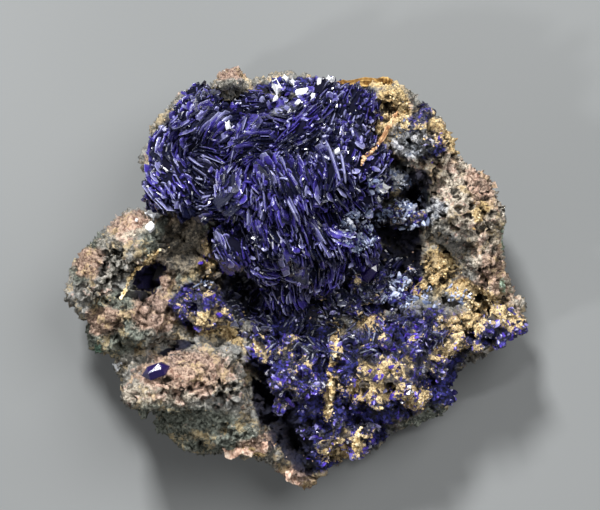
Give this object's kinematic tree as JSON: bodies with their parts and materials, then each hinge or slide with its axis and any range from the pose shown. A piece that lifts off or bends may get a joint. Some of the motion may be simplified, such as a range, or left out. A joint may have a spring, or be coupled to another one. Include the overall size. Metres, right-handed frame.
{
  "type": "azurite mineral specimen",
  "caption": "Rough lump of brown gossan with a large rosette of bladed deep blue azurite and blue crystal druses round a dark vug, lying on its flat broken back.",
  "frame": {"origin": "bottom centre of the specimen's bounding box, on the flat broken back that it lies on", "axes": "+Z out of the crystal face, +Y to the top of the crystal face (the end with the main rosette), +X to its right"},
  "size_m": [0.064, 0.058, 0.0338],
  "materials": {
    "gossan": "matte",
    "azurite": "gloss"
  },
  "bodies": {
    "root": {"matrix": "gossan", "azurite_rosette": "azurite", "azurite_ledge": "azurite", "azurite_shoulder": "azurite", "azurite_druse_left": "azurite", "azurite_druse_foot": "azurite", "azurite_druse_middle": "azurite", "azurite_druse_right": "azurite", "azurite_druse_pocket": "azurite", "azurite_vug_crust": "azurite", "azurite_lone_crystal": "azurite"}
  },
  "joints": []
}
